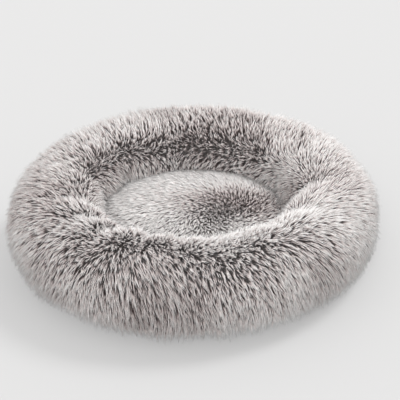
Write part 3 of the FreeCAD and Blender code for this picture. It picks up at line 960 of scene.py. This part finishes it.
# %% Moulded plastic, satin metal and satin ribbon
def plastic_material():
    tree = Finish("moulded acetal", Roughness=0.4, Specular_IOR_Level=0.5)
    at = coordinates(tree)
    mottle = tree.noise(at.where, 260.0, 3.0)
    worn = tree.smooth(tree.noise(at.where, 45.0, 2.0), 0.5, 0.7)
    colour = tree.mix(mottle, (0.16, 0.142, 0.135, 1.0), (0.24, 0.215, 0.205, 1.0))
    return tree.join(colour, mottle, 0.00008, 0.30 + worn * 0.22)


def metal_material():
    tree = Finish("satin nickel", Metallic=1.0, Roughness=0.3)
    at = coordinates(tree)
    stretch = tree.add("ShaderNodeMapping", {"Vector": at.where, "Scale": (1.0, 1.0, 14.0)})
    brushed = tree.noise(stretch, 620.0, 3.0)
    rubbed = tree.smooth(tree.noise(at.where, 150.0, 3.0), 0.45, 0.7)
    colour = tree.mix(rubbed, (0.42, 0.41, 0.40, 1.0), (0.66, 0.65, 0.635, 1.0))
    return tree.join(colour, brushed, 0.00006, 0.24 + brushed * 0.26)


def ribbon_material():
    tree = Finish("satin ribbon", Roughness=0.38, Sheen_Weight=0.2)
    at = coordinates(tree)
    twill = absolute(tree, ridge(tree, at.round_bed * 0.6 + at.z, 0.00032))
    float_thread = absolute(tree, ridge(tree, at.z, 0.0009))
    edge = tree.smooth(absolute(tree, at.z - 0.0165), 0.0070, 0.0078)
    colour = tree.mix(twill * 0.5 + edge * 0.4, (0.88, 0.87, 0.85, 1.0), (0.70, 0.69, 0.67, 1.0))
    return tree.join(colour, twill * 0.6 + float_thread * 0.4,
                           0.00015, 0.30 + twill * 0.16)


# %% Lining and filling
def lining_material():
    """Spun lining with the small round bond marks that hold it together."""
    tree = Finish("spunbond lining", Roughness=0.85)
    where = coordinates(tree).where
    cells = tree.add("ShaderNodeTexVoronoi", {"Vector": where, "Scale": 420.0,
                                              "Randomness": 0.25}, out="Distance")
    bonds = tree.smooth(cells, 0.18, 0.42)
    cloudy = tree.noise(where, 60.0, 4.0)
    colour = tree.mix(bonds * 0.6 + cloudy * 0.5, (0.56, 0.55, 0.53, 1.0),
                      (0.82, 0.81, 0.79, 1.0))
    return tree.join(colour, bonds, 0.0002, 0.78 + cloudy * 0.15)


def filling_material():
    tree = Finish("fibre filling", Roughness=0.95)
    where = coordinates(tree).where
    tufts = tree.noise(where, 48.0, 6.0)
    colour = tree.mix(tufts, (0.72, 0.71, 0.69, 1.0), (0.93, 0.92, 0.90, 1.0))
    return tree.join(colour, tufts, 0.003)


acetal, nickel, ribbon = plastic_material(), metal_material(), ribbon_material()
lining, filling = lining_material(), filling_material()
border_cloth = base_cloth_material("woven cloth, upright", True)
floor_cloth = base_cloth_material("woven cloth, flat", False)
rubber = rubber_material()

FINISHES = {
    "bolster_liner_top": lining, "bolster_liner_base": lining, "cushion_liner_top": lining,
    "cushion_liner_base": lining, "divider_band": lining,
    "bolster_filling": filling, "cushion_filling": filling,
    "inner_seam_binding": binding_tape, "outer_seam_binding": binding_tape,
    "zip_tape_upper": zip_cloth, "zip_tape_lower": zip_cloth,
    "zip_teeth_upper": acetal, "zip_teeth_lower": acetal,
    "zip_start_stop": acetal, "zip_end_stop": acetal,
    "zip_slider": nickel, "zip_pull_tab": nickel,
}
for name, finish in FINISHES.items():
    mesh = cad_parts[name].data
    mesh.materials.clear()
    mesh.materials.append(finish)
print("finishes given to", len(FINISHES), "nodes")

# %% [markdown]
# ## The border
# The border is a strip of woven cloth standing round the base, with a long slot at the back
# that the zip fills. Real cloth is never a true cylinder: it puckers a little between the
# stitches. A grid that leaves out the faces of the slot, pushed in and out by a fraction of a
# millimetre and given its thickness by Solidify, shows that.

# %% The border's cloth
BORDER_STEPS = 720
SLOT_HALF = 0.0065
SLOT_FROM, SLOT_TO = math.radians(13.0), math.radians(167.0)
BORDER_ROWS = [border_low.z, 0.0062, ZIP_HEIGHT - SLOT_HALF, 0.0112, ZIP_HEIGHT, 0.0178,
               ZIP_HEIGHT + SLOT_HALF, 0.0230, border_high.z]


def strip_mesh(name, turns, rows, radius_of, leave_out=None):
    """A strip of cloth round the bed from angles and heights."""
    verts = [(radius_of(a, z) * math.cos(a), radius_of(a, z) * math.sin(a), z)
             for a in turns for z in rows]
    faces, count, closed = [], len(rows), turns[-1] - turns[0] > math.tau * 0.99
    for i in range(len(turns) - (0 if closed else 1)):
        after = (i + 1) % len(turns)
        for j in range(count - 1):
            middle = turns[i], (rows[j] + rows[j + 1]) / 2
            if leave_out is None or not leave_out(*middle):
                faces.append((i * count + j, after * count + j, after * count + j + 1,
                              i * count + j + 1))
    mesh = bpy.data.meshes.new(name)
    mesh.from_pydata(verts, [], faces)
    return placed(name, mesh)


def puckered(turn, height):
    """The border's outer radius, drawn in a little where it is stitched."""
    hem = math.exp(-((height - border_high.z + 0.002) / 0.003) ** 2)
    wave = math.sin(turn * 61.0) + 0.6 * math.sin(turn * 137.0 + 1.0)
    return border_radius - 0.0002 - 0.00018 * (wave + 1.6) * (0.4 + hem)


def in_slot(turn, height):
    return SLOT_FROM < turn < SLOT_TO and abs(height - ZIP_HEIGHT) < SLOT_HALF


around = [math.tau * i / BORDER_STEPS for i in range(BORDER_STEPS)]
border = strip_mesh("border_cloth", around, BORDER_ROWS, puckered, in_slot)
loose = bmesh.new()
loose.from_mesh(border.data)
bmesh.ops.delete(loose, geom=[v for v in loose.verts if not v.link_faces], context="VERTS")
loose.to_mesh(border.data)
loose.free()
thicken(border, 0.0014)
dress(border, border_cloth)
sew_in(border, "base_cloth", "base_border")
print("border:", len(border.data.polygons), "faces")

# %% [markdown]
# ## The base and its grip dots
# The base is a round of the same cloth that dips a little between the dots, and the dots are
# drops of rubber moulded on its underside in rings. A mesh of bare points gives their places,
# and a small Geometry Nodes tree puts a dome on each.

# %% The base cloth
DOT_RINGS, DOT_SPACING, DOT_RADIUS, DOT_HEIGHT = 6, 0.035, 0.004, 0.002
base_low, base_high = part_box("base_panel")
DOT_TOP = base_low.z + DOT_HEIGHT
DOTTED = DOT_RINGS * DOT_SPACING + 0.0005


def base_height(x, y):
    """Height of the base's underside, lifted between the dots and puckered at its edge."""
    reach, turn = np.hypot(x, y), np.arctan2(y, x)
    billow = 0.0005 * (1 - np.cos(math.tau * reach / DOT_SPACING)) * (reach < DOTTED)
    pucker = 0.00035 * (1 + np.sin(turn * 73.0)) * np.clip(reach / 0.02 - 10.4, 0, 1)
    return DOT_TOP + billow + pucker


base = disc_cloth("base_cloth", 180, 60, base_high.x, base_height)
if base.data.polygons[0].normal.z > 0:
    base.data.flip_normals()
thicken(base, 0.0012)
dress(base, floor_cloth)
sew_in(base, "base_cloth", "base_panel")


# %% Trees for dots and stitches
def dot_tree():
    group, tree, given = start_tree("grip dots", {"Radius": DOT_RADIUS, "Height": DOT_HEIGHT})
    ball = tree.add("GeometryNodeMeshUVSphere", {"Segments": 14, "Rings": 8, "Radius": 1.0})
    dots = tree.add("GeometryNodeInstanceOnPoints", {
        "Points": given["Geometry"], "Instance": ball,
        "Scale": tree.vector(given["Radius"], given["Radius"], given["Height"])})
    return end_tree(group, tree, dots, rubber)


def stitch_tree(thread):
    group, tree, given = start_tree("row of stitches", {
        "Pitch": 0.0034, "Length": 0.0026, "Thickness": 0.0005})
    places_on = tree.add("GeometryNodeCurveToPoints", {
        "Curve": given["Geometry"], "Length": given["Pitch"]}, mode="LENGTH").socket.node
    ball = tree.add("GeometryNodeMeshUVSphere", {"Segments": 6, "Rings": 4, "Radius": 0.5})
    lie = tree.add("FunctionNodeAlignRotationToVector",
                   {"Vector": Wire(tree, places_on.outputs["Tangent"])}, axis="Z")
    stitches = tree.add("GeometryNodeInstanceOnPoints", {
        "Points": Wire(tree, places_on.outputs["Points"]), "Instance": ball, "Rotation": lie,
        "Scale": tree.vector(given["Thickness"], given["Thickness"], given["Length"])})
    return end_tree(group, tree, stitches, thread)


# %% The grip dots
dot_places = [(0.0, 0.0, DOT_TOP)]
for ring in range(1, DOT_RINGS + 1):
    for step in range(6 * ring):
        turn = math.tau * step / (6 * ring)
        dot_places.append((DOT_SPACING * ring * math.cos(turn),
                           DOT_SPACING * ring * math.sin(turn), DOT_TOP))
dot_mesh = bpy.data.meshes.new("dot places")
dot_mesh.from_pydata(dot_places, [], [])
grow(placed("dot places", dot_mesh), dot_tree(), "grip_dots", "base_cloth")

# %% [markdown]
# ## Stitches
# Each row is a circle or part of one, and the tree lays a short thread on it at every pitch.
# There is a row near the border's hem, one along each zip tape, and two round the base.

# %% Rows of stitches


def thread_material():
    tree = Finish("sewing thread", Roughness=0.6, Sheen_Weight=0.2)
    where = coordinates(tree).where
    twist = tree.noise(where, 2600.0, 2.0)
    colour = tree.mix(twist, (0.24, 0.215, 0.205, 1.0), (0.46, 0.43, 0.415, 1.0))
    return tree.join(colour, twist, 0.0001)


def sewing_line(radius, height, begin, end):
    """A curve round the bed, from one angle to another."""
    count = 96
    curve = bpy.data.curves.new("sewing line", "CURVE")
    curve.dimensions = "3D"
    line = curve.splines.new("POLY")
    line.points.add(count - 1)
    for i, point in enumerate(line.points):
        turn = math.radians(begin + (end - begin) * i / (count - 1))
        point.co = (radius * math.cos(turn), radius * math.sin(turn), height, 1.0)
    return placed("sewing line", curve)


stitches = stitch_tree(thread_material())
tape_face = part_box("zip_tape_upper")[1].y + 0.0001
ROWS_OF_STITCHES = [
    ("stitches_hem", border_radius + 0.0001, border_high.z - 0.0018, 171.0, 369.0),
    ("stitches_tape_upper", tape_face, ZIP_HEIGHT + SLOT_HALF + 0.0014, 12.0, 168.0),
    ("stitches_tape_lower", tape_face, ZIP_HEIGHT - SLOT_HALF - 0.0014, 12.0, 168.0),
    ("stitches_base_outer", base_high.x - 0.0035, DOT_TOP, 0.0, 359.0),
    ("stitches_base_inner", base_high.x - 0.0090, DOT_TOP, 0.0, 359.0),
]
for name, radius, height, begin, end in ROWS_OF_STITCHES:
    grow(sewing_line(radius, height, begin, end), stitches, name, "binding_tape")

# %% [markdown]
# ## The care label
# A loop of white satin ribbon, left blank, hangs from the hem at the front right. It bows
# outwards under its own stiffness.

# %% The care label
label_low, label_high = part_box("care_label")
label_middle = (label_low + label_high) / 2
LABEL_TURN = math.atan2(label_middle.y, label_middle.x)
LABEL_RADIUS = math.hypot(label_middle.x, label_middle.y)
LABEL_WIDTH = 0.026


def bowed(turn, height):
    drop = (label_high.z - height) / (label_high.z - label_low.z)
    side = (turn - LABEL_TURN) * LABEL_RADIUS / LABEL_WIDTH
    return LABEL_RADIUS + 0.0003 + 0.0016 * drop ** 2 * (1 - side) + 0.0004 * math.sin(5 * drop)


half = LABEL_WIDTH / LABEL_RADIUS / 2
label_turns = [LABEL_TURN - half + 2 * half * i / 22 for i in range(23)]
label_rows = [label_low.z + (label_high.z - label_low.z) * i / 14 for i in range(15)]
label = strip_mesh("label_ribbon", label_turns, label_rows, bowed)
thicken(label, 0.0005)
dress(label, ribbon)
sew_in(label, "label_satin", "care_label")

# %% [markdown]
# ## Floor, light and camera
# The bed stands on a pale floor under an even white sky. One soft lamp shines from high on the
# right and a little behind, and a second, as strong, from the front, so that no side is in
# deep shade. The camera looks down from the front at about thirty degrees, with a long lens.

# %% The stage
floor_mesh = bpy.data.meshes.new("floor")
floor_mesh.from_pydata([(-6, -6, 0), (6, -6, 0), (6, 6, 0), (-6, 6, 0)], [], [(0, 1, 2, 3)])
floor = placed("floor", floor_mesh)
floor_mesh.materials.append(Finish(
    "pale floor", Roughness=0.95, Base_Color=(0.26, 0.26, 0.26, 1.0),
    Emission_Color=(1.0, 0.997, 0.995, 1.0), Emission_Strength=0.30).material)

world = bpy.data.worlds.new("studio")
scene.world = world
world.use_nodes = True
world.node_tree.nodes["Background"].inputs[0].default_value = (1.10, 1.09, 1.085, 1.0)
world.node_tree.nodes["Background"].inputs[1].default_value = 1.0


def soft_light(name, towards, strength, spread):
    """A lamp far away, as wide as a big softbox, shining on the bed from one side."""
    lamp = bpy.data.lights.new(name, "SUN")
    lamp.energy = strength
    lamp.angle = math.radians(spread)
    placed(name, lamp).rotation_euler = Vector(towards).to_track_quat("Z", "Y").to_euler()


soft_light("key", (0.70, 0.35, 1.0), 1.7, 20.0)
soft_light("fill", (-0.10, -1.0, 0.75), 1.85, 25.0)

ELEVATION = math.radians(29.7)
DISTANCE = 2.2
LOOK_AT = Vector((0.0, 0.0, 0.070))
ROLL = math.radians(-1.54)
camera_data = bpy.data.cameras.new("camera")
camera_data.sensor_width = 36.0
camera_data.lens = 122.5
camera = placed("camera", camera_data)
back = Vector((0.0, -math.cos(ELEVATION), math.sin(ELEVATION)))
camera.location = LOOK_AT + back * DISTANCE
aim = (-back).to_track_quat("-Z", "Y").to_matrix().to_4x4()
camera.rotation_euler = (aim @ Matrix.Rotation(ROLL, 4, "Z")).to_euler()
camera_data.shift_x = 0.0165
camera_data.shift_y = 0.0324
scene.camera = camera
scene.view_settings.view_transform = "Standard"
